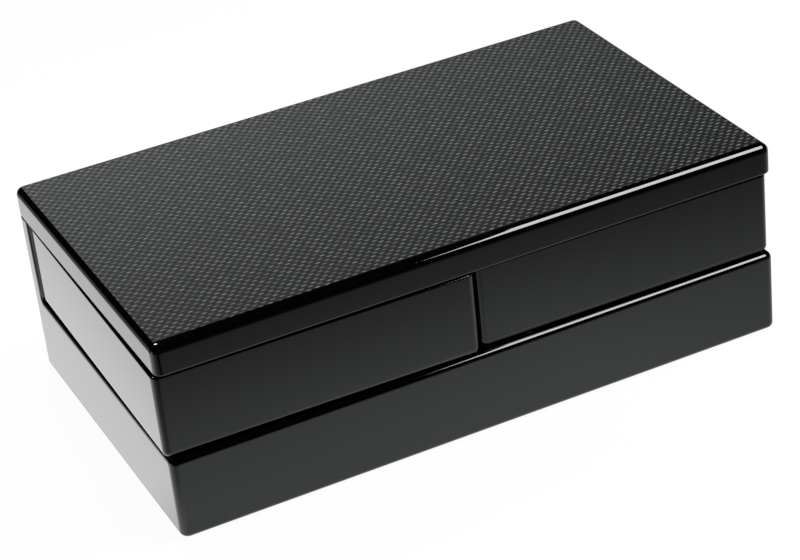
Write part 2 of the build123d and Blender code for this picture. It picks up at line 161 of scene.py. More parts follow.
class KeepsakeLacquer(bpy.types.PropertyGroup):
    """Polished lacquer of the base, the trays and the lid."""

    colour: bpy.props.FloatVectorProperty(
        name="Lacquer colour",
        description="Colour under the polish",
        subtype="COLOR",
        size=3,
        default=(0.0005, 0.0005, 0.0005),
    )
    roughness: bpy.props.FloatProperty(
        name="Polish roughness",
        description="Roughness of the polished surface",
        subtype="FACTOR",
        default=0.03,
    )
    ripple_size: bpy.props.FloatProperty(
        name="Ripple size",
        description="Width of the faint ripples that spraying leaves",
        unit="LENGTH",
        default=14 * MM,
    )
    ripple_depth: bpy.props.FloatProperty(
        name="Ripple depth",
        description="Depth of the faint ripples",
        unit="LENGTH",
        default=0.002 * MM,
    )


class KeepsakeWeave(bpy.types.PropertyGroup):
    """Plain-weave carbon inlay in the lid's top."""

    tow_width: bpy.props.FloatProperty(
        name="Tow width along the front",
        description="Pitch of the tows that run from front to back",
        unit="LENGTH",
        default=2.19 * MM,
    )
    tow_depth: bpy.props.FloatProperty(
        name="Tow width front to back",
        description="Pitch of the tows that run along the front",
        unit="LENGTH",
        default=2.35 * MM,
    )
    turn: bpy.props.FloatProperty(
        name="Turn of the weave",
        description="How far the rows climb towards the right",
        subtype="ANGLE",
        default=math.radians(0.75),
    )
    ground: bpy.props.FloatVectorProperty(
        name="Ground colour",
        description="Colour in the hollows between tows",
        subtype="COLOR",
        size=3,
        default=(0.031, 0.0327, 0.0312),
    )
    warp: bpy.props.FloatVectorProperty(
        name="Warp colour",
        description="Colour of the tows that run from front to back",
        subtype="COLOR",
        size=3,
        default=(0.020, 0.021, 0.0208),
    )
    # Painted highlight: the lit look of the tows that run along the front, painted into a light
    # colour
    weft_highlight: bpy.props.FloatVectorProperty(
        name="Weft highlight colour",
        description="Colour of the tows that run along the front",
        subtype="COLOR",
        size=3,
        default=(0.170, 0.176, 0.168),
    )
    relief: bpy.props.FloatProperty(
        name="Relief",
        description="Height of the tows under the clear coat",
        unit="LENGTH",
        default=0.06 * MM,
    )
    # Painted light: the ground of the weave is painted lighter towards the back and darker towards
    # the right, for the light that falls on the inlay
    painted_light_across: bpy.props.FloatProperty(
        name="Painted light across",
        description="Change of tone for each metre towards the right",
        default=-1.7,
    )
    painted_light_along: bpy.props.FloatProperty(
        name="Painted light along",
        description="Change of tone for each metre towards the back",
        default=3.6,
    )


class KeepsakeSuede(bpy.types.PropertyGroup):
    """Suede of the linings, dividers and pads."""

    colour: bpy.props.FloatVectorProperty(
        name="Suede colour",
        description="Colour of the nap",
        subtype="COLOR",
        size=3,
        default=(0.17, 0.16, 0.15),
    )
    edge_roll: bpy.props.FloatProperty(
        name="Edge roll",
        description="Width over which a pad's edge rounds down",
        unit="LENGTH",
        default=2.4 * MM,
    )
    edge_share: bpy.props.FloatProperty(
        name="Edge height",
        description="Share of a pad's thickness left at its edge",
        subtype="FACTOR",
        default=0.35,
    )
    crown: bpy.props.FloatProperty(
        name="Crown",
        description="How much lower a pad is near its edge than in the middle",
        unit="LENGTH",
        default=0.45 * MM,
    )
    crown_width: bpy.props.FloatProperty(
        name="Crown width",
        description="Width over which the crown rises",
        unit="LENGTH",
        default=28 * MM,
    )
    grid: bpy.props.FloatProperty(
        name="Grid",
        description="Size of a pad's faces",
        unit="LENGTH",
        default=3 * MM,
    )
    left_tray_turn: bpy.props.FloatProperty(
        name="Left tray turn",
        description="How far the left tray stands turned, seen from above",
        subtype="ANGLE",
        default=math.radians(-0.6),
    )
    right_tray_turn: bpy.props.FloatProperty(
        name="Right tray turn",
        description="How far the right tray stands turned, seen from above",
        subtype="ANGLE",
        default=math.radians(-0.45),
    )


class KeepsakeMetal(bpy.types.PropertyGroup):
    """Hinges, pivots and small fittings."""

    nickel: bpy.props.FloatVectorProperty(
        name="Nickel colour",
        description="Colour of the plated hinges and bolts",
        subtype="COLOR",
        size=3,
        default=(0.60, 0.58, 0.54),
    )
    brass: bpy.props.FloatVectorProperty(
        name="Brass colour",
        description="Colour of the bushes and washers",
        subtype="COLOR",
        size=3,
        default=(0.72, 0.50, 0.20),
    )
    rubber: bpy.props.FloatVectorProperty(
        name="Rubber colour",
        description="Colour of the bumpers and stops",
        subtype="COLOR",
        size=3,
        default=(0.02, 0.02, 0.02),
    )


class KeepsakeStage(bpy.types.PropertyGroup):
    """Floor, lamps and camera."""

    azimuth: bpy.props.FloatProperty(
        name="Azimuth",
        description="Camera's turn round the box from straight in front",
        subtype="ANGLE",
        default=-0.4059,
    )
    elevation: bpy.props.FloatProperty(
        name="Elevation",
        description="Camera's height above the horizon",
        subtype="ANGLE",
        default=0.52006,
    )
    roll: bpy.props.FloatProperty(
        name="Roll",
        description="Camera's turn about its own line of sight",
        subtype="ANGLE",
        default=-0.11148,
    )
    distance: bpy.props.FloatProperty(
        name="Distance",
        description="Camera's distance from the point that it looks at",
        unit="LENGTH",
        default=1.17237,
    )
    target: bpy.props.FloatVectorProperty(
        name="Target",
        description="Point that the camera looks at",
        unit="LENGTH",
        size=3,
        default=(0.0005148, 0.0, 0.0353925),
    )
    lens: bpy.props.FloatProperty(
        name="Lens",
        description="Focal length on a 36 mm wide sensor",
        unit="CAMERA",
        default=113.0247,
    )
    floor_size: bpy.props.FloatProperty(
        name="Floor size",
        description="Width of the pale floor",
        unit="LENGTH",
        default=12.0,
    )
    paper: bpy.props.FloatVectorProperty(
        name="Paper colour",
        description="Colour of the floor under the lamps",
        subtype="COLOR",
        size=3,
        default=(0.05, 0.05, 0.05),
    )
    camera_glow: bpy.props.FloatProperty(
        name="Floor glow seen",
        description="Glow that keeps the floor white to the camera",
        default=0.95,
    )
    front_glow: bpy.props.FloatProperty(
        name="Front glow mirrored",
        description="Glow of the floor close to the front, seen in the lacquer",
        default=0.98,
    )
    front_edge: bpy.props.FloatProperty(
        name="Front edge",
        description="Place along Y where the mirrored glow in front starts to fade",
        unit="LENGTH",
        default=-0.0875,
    )
    front_reach: bpy.props.FloatProperty(
        name="Front reach",
        description="Distance over which the mirrored glow in front fades",
        unit="LENGTH",
        default=0.125,
    )
    left_edge: bpy.props.FloatProperty(
        name="Left edge",
        description="Place along X where the brighter floor on the left starts",
        unit="LENGTH",
        default=-0.1505,
    )
    left_glow: bpy.props.FloatProperty(
        name="Left glow mirrored",
        description="Glow of the floor on the left, seen in the lacquer",
        default=1.9,
    )


def settings():
    """The scene's own settings of the box."""
    return bpy.context.scene.keepsake_box


def deselect_all():
    """Leave nothing selected, in object mode."""
    if bpy.context.mode != "OBJECT":
        bpy.ops.object.mode_set(mode="OBJECT")
    bpy.ops.object.select_all(action="DESELECT")


def make_active(piece):
    """Select one piece alone."""
    deselect_all()
    piece.select_set(True)
    bpy.context.view_layer.objects.active = piece


class Recipe:
    """One material, and short words for adding its nodes."""

    def __init__(self, name):
        self.material = bpy.data.materials.new(name)
        self.material.use_nodes = True
        self.tree = self.material.node_tree
        self.shader = self.tree.nodes["Principled BSDF"]

    def set(self, **values):
        """Set the shader's own sockets, named with underscores."""
        for name, value in values.items():
            self.feed(self.shader.inputs[name.replace("_", " ")], value)

    def feed(self, socket, value):
        """Link a socket to another node's output, or give it a constant."""
        if isinstance(value, bpy.types.NodeSocket):
            self.tree.links.new(value, socket)
        elif hasattr(socket.default_value, "__len__") and len(socket.default_value) == 4:
            socket.default_value = (*value, 1.0) if len(value) == 3 else value
        else:
            socket.default_value = value

    def node(self, kind, **options):
        """Add a node with its options."""
        made = self.tree.nodes.new(kind)
        for name, value in options.items():
            setattr(made, name, value)
        return made

    def math(self, operation, first, second=None, third=None, clamp=False):
        """Add a Math node and return its output."""
        made = self.node("ShaderNodeMath", operation=operation, use_clamp=clamp)
        for socket, value in zip(made.inputs, (first, second, third)):
            if value is not None:
                self.feed(socket, value)
        return made.outputs[0]

    def place(self, scale=(1, 1, 1), turn=0.0):
        """Object coordinates, turned about Z and scaled."""
        coordinates = self.node("ShaderNodeTexCoord")
        mapping = self.node("ShaderNodeMapping")
        self.tree.links.new(coordinates.outputs["Object"], mapping.inputs["Vector"])
        mapping.inputs["Rotation"].default_value = (0, 0, turn)
        mapping.inputs["Scale"].default_value = scale
        return mapping.outputs["Vector"]

    def split(self, vector):
        """Take a vector apart and return its X and its Y."""
        made = self.node("ShaderNodeSeparateXYZ")
        self.feed(made.inputs[0], vector)
        return made.outputs["X"], made.outputs["Y"]

    def scaled(self, vector, share):
        """Multiply a vector or a colour by one number."""
        made = self.node("ShaderNodeVectorMath", operation="SCALE")
        self.feed(made.inputs[0], vector)
        self.feed(made.inputs["Scale"], share)
        return made.outputs[0]

    def noise(self, vector, scale=1.0, detail=2.0, roughness=0.5):
        """Add a noise texture and return its value."""
        made = self.node("ShaderNodeTexNoise")
        self.feed(made.inputs["Vector"], vector)
        self.feed(made.inputs["Scale"], scale)
        self.feed(made.inputs["Detail"], detail)
        self.feed(made.inputs["Roughness"], roughness)
        return made.outputs["Fac"]

    def ramp(self, value, low, high, out_low=0.0, out_high=1.0, smooth=True):
        """Carry a value from one range to another."""
        made = self.node("ShaderNodeMapRange")
        if smooth:
            made.interpolation_type = "SMOOTHSTEP"
        for name, number in (
            ("Value", value),
            ("From Min", low),
            ("From Max", high),
            ("To Min", out_low),
            ("To Max", out_high),
        ):
            self.feed(made.inputs[name], number)
        return made.outputs["Result"]

    def mix(self, share, first, second):
        """Mix two colours."""
        made = self.node("ShaderNodeMix", data_type="RGBA")
        self.feed(made.inputs["Factor"], share)
        self.feed(made.inputs[6], first)
        self.feed(made.inputs[7], second)
        return made.outputs[2]

    def bump(self, height, distance, strength=1.0, normal=None):
        """Add a bump and return its normal."""
        made = self.node("ShaderNodeBump")
        self.feed(made.inputs["Height"], height)
        made.inputs["Distance"].default_value = distance
        made.inputs["Strength"].default_value = strength
        if normal is not None:
            self.feed(made.inputs["Normal"], normal)
        return made.outputs["Normal"]


def dress(node_names, material):
    """Give CAD nodes a material in place of their own."""
    for name in node_names:
        slots = frame["nodes"][name].data.materials
        slots.clear()
        slots.append(material)


def lacquer_material():
    """Deep black lacquer, polished, with the faintest ripples and polishing haze."""
    values = settings().lacquer
    recipe = Recipe("black_lacquer")
    ripples = recipe.noise(recipe.place(), scale=1 / values.ripple_size, detail=1.0)
    haze = recipe.noise(recipe.place(), scale=45.0, detail=3.0)
    roughness = recipe.ramp(haze, 0.3, 0.75, values.roughness, values.roughness + 0.02)
    recipe.set(
        Base_Color=tuple(values.colour),
        Roughness=roughness,
        IOR=1.5,
        Normal=recipe.bump(ripples, values.ripple_depth),
    )
    return recipe.material


def carbon_material():
    """Plain weave of carbon tows, nearly matt, with a trace of coat and a painted highlight on the
    weft.

    The tone of the ground is painted light: it changes across the lid and along it, lighter
    towards the back and darker towards the right, and stands for the light that falls on the
    inlay, and so it shows the same from every side.
    """
    values = settings().weave
    recipe = Recipe("carbon_weave")
    cells = recipe.node("ShaderNodeVectorMath", operation="MULTIPLY")
    recipe.feed(cells.inputs[0], recipe.place(turn=-values.turn))
    cells.inputs[1].default_value = (1 / values.tow_width, 1 / values.tow_depth, 1)
    across, along = recipe.split(cells.outputs[0])
    column = recipe.math("FLOOR", across)
    row = recipe.math("FLOOR", along)
    local_x = recipe.math("SUBTRACT", recipe.math("FRACT", across), 0.5)
    local_y = recipe.math("SUBTRACT", recipe.math("FRACT", along), 0.5)
    over = recipe.math("PINGPONG", recipe.math("ADD", column, row), 1.0)
    under = recipe.math("SUBTRACT", 1.0, over)

    def dash(long_way, short_way, half_width, start, full):
        """Where a tow lies on top: long along itself, thin across, dark between."""
        arch = recipe.math("COSINE", recipe.math("MULTIPLY", long_way, math.pi))
        length = recipe.ramp(arch, start, full)
        reach = recipe.math("ABSOLUTE", short_way)
        width = recipe.ramp(reach, 0.0, half_width, 1.0, 0.0)
        return recipe.math("MULTIPLY", length, width)

    def rounded(x, y):
        """Height of a tow that rises over a crossing: arched along, round across."""
        arch = recipe.math("COSINE", recipe.math("MULTIPLY", x, math.pi))
        roll = recipe.math("COSINE", recipe.math("MULTIPLY", y, math.pi * TOW_ROLL))
        return recipe.math("MULTIPLY", arch, roll)

    def chance(*cell):
        """A number between 0 and 1 that is each cell's own."""
        joined = recipe.node("ShaderNodeCombineXYZ")
        for socket, value in zip(joined.inputs, cell):
            recipe.feed(socket, value)
        white = recipe.node("ShaderNodeTexWhiteNoise", noise_dimensions="2D")
        recipe.feed(white.inputs["Vector"], joined.outputs[0])
        return white.outputs["Value"]

    def spread(share, low, high):
        """Carry a number between 0 and 1 to a range, evenly."""
        return recipe.ramp(share, 0.0, 1.0, low, high, smooth=False)

    row_level = spread(recipe.math("PINGPONG", row, 1.0), *ROW_LEVELS)
    own_level = spread(chance(column, row), *DASH_LEVELS)
    level = recipe.math("MULTIPLY", row_level, own_level)

    shift_x = spread(chance(row, column), -DASH_SHIFT_X, DASH_SHIFT_X)
    shift_y = spread(chance(row, column), DASH_SHIFT_Y, -DASH_SHIFT_Y)
    weft_x = recipe.math("ADD", local_x, shift_x)
    weft_y = recipe.math("ADD", local_y, shift_y)
    weft_highlight = recipe.math("MULTIPLY", dash(weft_x, weft_y, *WEFT_DASH), over)
    warp = recipe.math("MULTIPLY", dash(local_y, local_x, *WARP_DASH), under)
    right, back = recipe.split(recipe.place())
    # Painted light: the tone scales the ground lighter towards the back and darker towards the
    # right
    tone = recipe.math("MULTIPLY_ADD", right, values.painted_light_across, 1.0)
    tone = recipe.math("MULTIPLY_ADD", back, values.painted_light_along, tone)
    painted_light_ground = recipe.scaled(recipe.mix(warp, tuple(values.ground), tuple(values.warp)), tone)
    # Painted highlight: the weft's dashes are painted light, brighter on every other row and
    # varied dash by dash
    painted_highlight_share = recipe.math("MULTIPLY", weft_highlight, level, clamp=True)
    colour = recipe.mix(painted_highlight_share, painted_light_ground, tuple(values.weft_highlight))

    fibres_x = recipe.noise(recipe.place((180, 9000, 1)), detail=1.0)
    fibres_y = recipe.noise(recipe.place((9000, 180, 1)), detail=1.0)
    fibres = recipe.node("ShaderNodeMix", data_type="FLOAT")
    recipe.feed(fibres.inputs["Factor"], over)
    recipe.feed(fibres.inputs[2], fibres_y)
    recipe.feed(fibres.inputs[3], fibres_x)
    streak = recipe.ramp(fibres.outputs[0], 0.3, 0.7, 0.8, 1.2)

    height = recipe.math(
        "ADD",
        recipe.math("MULTIPLY", rounded(local_x, local_y), over),
        recipe.math("MULTIPLY", rounded(local_y, local_x), under),
    )
    recipe.set(
        Base_Color=recipe.scaled(colour, streak),
        Roughness=0.55,
        IOR=1.45,
        Specular_IOR_Level=0.02,
        Coat_Weight=0.01,
        Coat_Roughness=0.22,
        Normal=recipe.bump(height, values.relief, 0.6),
    )
    return recipe.material


def suede_material():
    """Short-nap suede with brushed patches and a soft sheen."""
    values = settings().suede
    recipe = Recipe("suede")
    here = recipe.place()
    patches = recipe.noise(here, scale=38.0, detail=3.0)
    nap = recipe.noise(here, scale=2600.0, detail=2.0)
    dark = tuple(0.72 * channel for channel in values.colour)
    light = tuple(1.2 * channel for channel in values.colour)
    share = recipe.math(
        "ADD",
        recipe.math("MULTIPLY", recipe.ramp(patches, 0.35, 0.65), 0.4),
        recipe.math("MULTIPLY", nap, 0.45),
    )
    recipe.set(
        Base_Color=recipe.mix(share, dark, light),
        Roughness=0.92,
        Specular_IOR_Level=0.15,
        Sheen_Weight=0.35,
        Sheen_Roughness=0.45,
        Normal=recipe.bump(nap, 0.12 * MM, 0.7),
    )
    return recipe.material


def felt_material():
    """Matted black felt with loose fibres."""
    recipe = Recipe("felt")
    here = recipe.place()
    fibres = recipe.noise(here, scale=1500.0, detail=4.0, roughness=0.7)
    clumps = recipe.noise(here, scale=160.0, detail=2.0)
    colour = recipe.mix(
        recipe.math("MULTIPLY", fibres, clumps), (0.008, 0.008, 0.009), (0.06, 0.06, 0.064)
    )
    recipe.set(
        Base_Color=colour,
        Roughness=0.97,
        Specular_IOR_Level=0.1,
        Sheen_Weight=0.25,
        Normal=recipe.bump(fibres, 0.25 * MM, 0.8),
    )
    return recipe.material


def stained_wood_material():
    """Plywood stained black, with its grain just showing."""
    recipe = Recipe("stained_wood")
    grain = recipe.noise(recipe.place((12, 900, 900)), detail=4.0, roughness=0.6)
    bands = recipe.noise(recipe.place((3, 60, 60)), detail=2.0)
    share = recipe.math("MULTIPLY", recipe.ramp(grain, 0.35, 0.7), bands)
    recipe.set(
        Base_Color=recipe.mix(share, (0.012, 0.011, 0.010), (0.055, 0.045, 0.036)),
        Roughness=recipe.ramp(grain, 0.3, 0.7, 0.5, 0.68),
        Normal=recipe.bump(grain, 0.08 * MM, 0.6),
    )
    return recipe.material


def metal_material(name, colour, roughness, lines):
    """Metal with fine working marks: lines is their stretch along X, Y and Z."""
    recipe = Recipe(name)
    marks = recipe.noise(recipe.place(lines), detail=3.0)
    stains = recipe.noise(recipe.place(), scale=220.0, detail=2.0)
    dark = tuple(0.82 * channel for channel in colour)
    recipe.set(
        Base_Color=recipe.mix(recipe.ramp(stains, 0.35, 0.7), dark, tuple(colour)),
        Metallic=1.0,
        Roughness=recipe.ramp(marks, 0.25, 0.75, roughness, roughness + 0.14),
        Normal=recipe.bump(marks, 0.01 * MM, 0.5),
    )
    return recipe.material


def moulded_material(name, colour, roughness):
    """Moulded rubber or nylon with a faint skin texture."""
    recipe = Recipe(name)
    skin = recipe.noise(recipe.place(), scale=1800.0, detail=2.0)
    wear = recipe.noise(recipe.place(), scale=260.0, detail=2.0)
    light = tuple(1.8 * channel for channel in colour)
    recipe.set(
        Base_Color=recipe.mix(recipe.ramp(wear, 0.45, 0.75), tuple(colour), light),
        Roughness=recipe.ramp(skin, 0.3, 0.7, roughness, roughness + 0.12),
        Normal=recipe.bump(skin, 0.03 * MM, 0.5),
    )
    return recipe.material


def joint_place(name):
    """Where a joint turns."""
    found = [joint for joint in frame["joints"] if joint["name"] == name]
    return Vector(found[0]["pos_m"])


def turned_about(place, angle):
    """Matrix that turns about an upright line through a place."""
    return Matrix.Translation(place) @ Matrix.Rotation(angle, 4, "Z") @ Matrix.Translation(-place)


def separate_solids(node_name, untwist):
    """Lowest and highest corner of each loose solid of a node, seen untwisted."""
    deselect_all()
    copy = bpy.data.objects.new(node_name + "_copy", frame["nodes"][node_name].data.copy())
    bpy.context.scene.collection.objects.link(copy)
    make_active(copy)
    bpy.ops.object.mode_set(mode="EDIT")
    bpy.ops.mesh.select_all(action="SELECT")
    bpy.ops.mesh.remove_doubles(threshold=0.01 * MM)
    bpy.ops.mesh.separate(type="LOOSE")
    bpy.ops.object.mode_set(mode="OBJECT")
    boxes = []
    for piece in list(bpy.context.selected_objects):
        points = [untwist @ vertex.co for vertex in piece.data.vertices]
        low = Vector([min(p[axis] for p in points) for axis in range(3)])
        high = Vector([max(p[axis] for p in points) for axis in range(3)])
        boxes.append((low, high))
        bpy.data.objects.remove(piece)
    return sorted(boxes, key=lambda box: (round(box[0].x, 4), round(box[0].y, 4)))


def outline_distance(point, low, high, posts):
    """How far a point of a pad lies inside its outline, which is cut back round posts."""
    nearest = min(point.x - low.x, high.x - point.x, point.y - low.y, high.y - point.y)
    for centre, reach in posts:
        beyond_x = abs(point.x - centre.x) - reach
        beyond_y = abs(point.y - centre.y) - reach
        nearest = min(nearest, math.hypot(max(beyond_x, 0), max(beyond_y, 0)))
    return max(nearest, 0.0)


def crowned_pad(name, low, high, posts, downwards=False):
    """Suede pad that fills a box of the CAD: flat where it is glued, crowned where it shows."""
    values = settings().suede
    size = high - low
    deselect_all()
    bpy.ops.mesh.primitive_grid_add(
        x_subdivisions=max(4, round(size.x / values.grid)),
        y_subdivisions=max(4, round(size.y / values.grid)),
        size=1,
        location=((low.x + high.x) / 2, (low.y + high.y) / 2, 0),
    )
    pad = bpy.context.object
    pad.name = name
    bpy.ops.transform.resize(value=(size.x, size.y, 1))
    bpy.ops.object.transform_apply(location=True, rotation=True, scale=True)
    bpy.ops.object.mode_set(mode="EDIT")
    for centre, reach in posts:
        for axis in range(2):
            for side in (-1, 1):
                place = centre[axis] + side * reach
                if not low[axis] + MM < place < high[axis] - MM:
                    continue
                point = [0, 0, 0]
                normal = [0, 0, 0]
                point[axis] = place
                normal[axis] = 1
                bpy.ops.mesh.select_all(action="SELECT")
                bpy.ops.mesh.bisect(plane_co=point, plane_no=normal)
        bpy.ops.mesh.select_all(action="DESELECT")
        bpy.ops.object.mode_set(mode="OBJECT")
        for face in pad.data.polygons:
            offset = face.center - centre
            face.select = abs(offset.x) < reach and abs(offset.y) < reach
        bpy.ops.object.mode_set(mode="EDIT")
        bpy.ops.mesh.select_mode(type="FACE")
        bpy.ops.mesh.delete(type="FACE")
    bpy.ops.mesh.select_mode(type="VERT")
    bpy.ops.mesh.select_all(action="SELECT")
    bpy.ops.mesh.remove_doubles(threshold=0.05 * MM)
    bpy.ops.mesh.select_all(action="SELECT")
    for ring in PAD_RINGS:
        bpy.ops.mesh.inset(thickness=ring, use_boundary=True)
    bpy.ops.object.mode_set(mode="OBJECT")
    solid = pad.modifiers.new("thickness", "SOLIDIFY")
    solid.thickness = size.z
    solid.offset = 1
    bpy.ops.object.modifier_apply(modifier=solid.name)
    for vertex in pad.data.vertices:
        inside = outline_distance(vertex.co, low, high, posts)
        roll = min(inside / values.edge_roll, 1.0)
        share = values.edge_share + (1 - values.edge_share) * math.sqrt(1 - (1 - roll) ** 2)
        rise = 1 - min(inside / values.crown_width, 1.0)
        x, y = vertex.co.x, vertex.co.y
        wave = math.sin(x * PAD_WAVE_X + y * PAD_WAVE_Y) * math.sin(y * PAD_CROSS_WAVE)
        height = size.z * share - values.crown * rise * rise - PAD_WAVE * (1 + wave)
        is_top = vertex.co.z > size.z / 2
        vertex.co.z = max(height, PAD_LEAST_SHARE * size.z) if is_top else 0
        vertex.co.z = high.z - vertex.co.z if downwards else low.z + vertex.co.z
    bpy.ops.object.mode_set(mode="EDIT")
    bpy.ops.mesh.select_all(action="SELECT")
    bpy.ops.mesh.normals_make_consistent(inside=False)
    bpy.ops.object.mode_set(mode="OBJECT")
    bpy.ops.object.shade_smooth_by_angle(angle=math.radians(50))
    return pad


def finish_pad(pad, material, body, node_name):
    """Suede a pad and let it ride in its CAD node's stead."""
    pad.data.materials.clear()
    pad.data.materials.append(material)
    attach(pad, body)
    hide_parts(node_name)


def shared_suede():
    """The suede that several operators use, made once."""
    return bpy.data.materials.get("suede") or suede_material()


class KEEPSAKE_OT_lacquered_bodies(bpy.types.Operator):
    """Lacquer the base, the trays and the lid"""

    bl_idname = "keepsake.lacquered_bodies"
    bl_label = "Lacquered bodies"

    def execute(self, context):
        dress(LACQUERED, lacquer_material())
        return {"FINISHED"}


class KEEPSAKE_OT_carbon_inlay(bpy.types.Operator):
    """Weave the carbon inlay of the lid"""

    bl_idname = "keepsake.carbon_inlay"
    bl_label = "Carbon inlay"

    def execute(self, context):
        dress(["carbon_inlay"], carbon_material())
        return {"FINISHED"}


class KEEPSAKE_OT_linings(bpy.types.Operator):
    """Cover the wall linings and the dividers with suede"""

    bl_idname = "keepsake.linings"
    bl_label = "Linings and dividers"

    def execute(self, context):
        dress(SUEDE_COVERED, shared_suede())
        return {"FINISHED"}


class KEEPSAKE_OT_base_floor_cushion(bpy.types.Operator):
    """Make the padded floor of the base compartment"""

    bl_idname = "keepsake.base_floor_cushion"
    bl_label = "Base floor cushion"

    def execute(self, context):
        suede = shared_suede()
        low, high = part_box("base_floor_pad")
        pivots = [joint_place(side + "_tray_swing") for side in ("left", "right")]
        posts = [(pivot, BASE_POST_REACH) for pivot in pivots]
        pad = crowned_pad("base_floor_cushion", low, high, posts)
        finish_pad(pad, suede, "base", "base_floor_pad")
        return {"FINISHED"}


class KEEPSAKE_OT_tray_floor_cushions(bpy.types.Operator):
    """Make the padded floors of the trays' compartments"""

    bl_idname = "keepsake.tray_floor_cushions"
    bl_label = "Tray floor cushions"

    def execute(self, context):
        suede = shared_suede()
        turns = {
            "left": settings().suede.left_tray_turn,
            "right": settings().suede.right_tray_turn,
        }
        for side, turn in turns.items():
            node_name = side + "_tray_floor_pads"
            pivot = joint_place(side + "_tray_swing")
            posts = [(pivot, TRAY_POST_REACH)]
            boxes = separate_solids(node_name, turned_about(pivot, -turn))
            for number, (low, high) in enumerate(boxes, start=1):
                pad = crowned_pad(f"{side}_tray_cushion_{number}", low, high, posts)
                pad.data.transform(turned_about(pivot, turn))
                finish_pad(pad, suede, side + "_tray", node_name)
        return {"FINISHED"}


class KEEPSAKE_OT_lid_cushion(bpy.types.Operator):
    """Make the pad in the lid's underside"""

    bl_idname = "keepsake.lid_cushion"
    bl_label = "Lid cushion"

    def execute(self, context):
        suede = shared_suede()
        low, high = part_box("lid_pad")
        pad = crowned_pad("lid_cushion", low, high, [], downwards=True)
        finish_pad(pad, suede, "lid", "lid_pad")
        return {"FINISHED"}


class KEEPSAKE_OT_underside(bpy.types.Operator):
    """Stain the bottom panels and felt the base"""

    bl_idname = "keepsake.underside"
    bl_label = "Bottom panels and felt"

    def execute(self, context):
        dress(STAINED_PANELS, stained_wood_material())
        dress(["felt_base_pad"], felt_material())
        return {"FINISHED"}


class KEEPSAKE_OT_metal_fittings(bpy.types.Operator):
    """Plate the hinges and bolts and turn the brass bushes"""

    bl_idname = "keepsake.metal_fittings"
    bl_label = "Metal fittings"

    def execute(self, context):
        values = settings().metal
        nickel = metal_material("nickel_steel", values.nickel, 0.2, (60, 4000, 4000))
        brass = metal_material("turned_brass", values.brass, 0.22, (200, 200, 5000))
        dress(NICKEL_PLATED, nickel)
        dress(BRASS_TURNED, brass)
        return {"FINISHED"}


class KEEPSAKE_OT_soft_stops(bpy.types.Operator):
    """Mould the rubber bumpers and stops and the nylon glides"""

    bl_idname = "keepsake.soft_stops"
    bl_label = "Bumpers, stops and glides"

    def execute(self, context):
        rubber = moulded_material("rubber", settings().metal.rubber, 0.6)
        dress(["lid_bumpers", "tray_stops"], rubber)
        dress(["tray_glides"], moulded_material("nylon", (0.035, 0.035, 0.037), 0.4))
        return {"FINISHED"}


def add_camera(values):
    """Camera at the photograph's viewing angle."""
    azimuth, elevation, roll = values.azimuth, values.elevation, values.roll
    back = Vector(
        (
            math.sin(azimuth) * math.cos(elevation),
            -math.cos(azimuth) * math.cos(elevation),
            math.sin(elevation),
        )
    )
    right = (-back).cross(Vector((0, 0, 1))).normalized()
    up = right.cross(-back)
    rolled_right = right * math.cos(roll) + up * math.sin(roll)
    rolled_up = up * math.cos(roll) - right * math.sin(roll)
    camera = bpy.data.objects.new("camera", bpy.data.cameras.new("camera"))
    bpy.context.scene.collection.objects.link(camera)
    camera.data.sensor_width = 36
    camera.data.lens = values.lens
    camera.data.clip_start = 0.01
    camera.data.clip_end = 50
    turn = Matrix((rolled_right, rolled_up, back)).transposed().to_4x4()
    camera.matrix_world = Matrix.Translation(Vector(values.target) + back * values.distance) @ turn
    bpy.context.scene.camera = camera


def add_softbox(name, place, aim, width, height, watts, colour):
    """Rectangular lamp at a place, aimed at a point."""
    lamp = bpy.data.lights.new(name, "AREA")
    lamp.shape = "RECTANGLE"
    lamp.size = width
    lamp.size_y = height
    lamp.energy = watts
    lamp.color = colour
    softbox = bpy.data.objects.new(name, lamp)
    bpy.context.scene.collection.objects.link(softbox)
    softbox.location = place
    softbox.rotation_euler = (Vector(aim) - Vector(place)).to_track_quat("-Z", "Y").to_euler()


